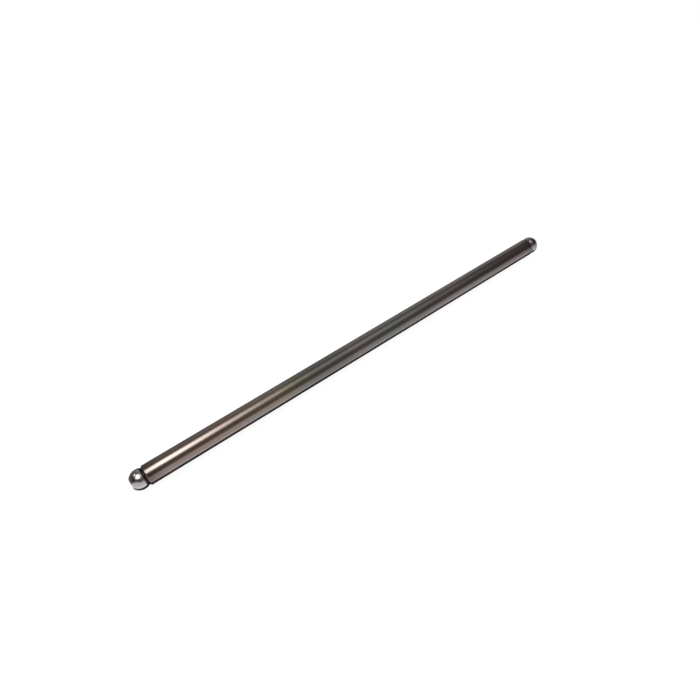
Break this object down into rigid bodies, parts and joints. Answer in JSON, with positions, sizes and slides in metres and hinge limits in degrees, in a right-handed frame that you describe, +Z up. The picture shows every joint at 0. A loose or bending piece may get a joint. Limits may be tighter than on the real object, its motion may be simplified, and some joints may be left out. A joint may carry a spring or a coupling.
{
  "type": "engine pushrod",
  "caption": "Straight hollow steel pushrod with a hardened ball end pressed into each end, each with a relief groove, a tip flat and an axial oil hole.",
  "frame": {"origin": "on the rod's axis, midway between the two tip flats", "axes": "+X along the rod from the lifter end to the rocker end, +Z up with the rod lying flat"},
  "size_m": [0.2102, 0.008, 0.008],
  "materials": {
    "tube_steel": "centreless ground, with a thin brown heat tint",
    "ball_steel": "hardened and polished"
  },
  "bodies": {
    "root": {"tube": "tube_steel", "lifter_ball_end": "ball_steel", "rocker_ball_end": "ball_steel"}
  },
  "joints": []
}
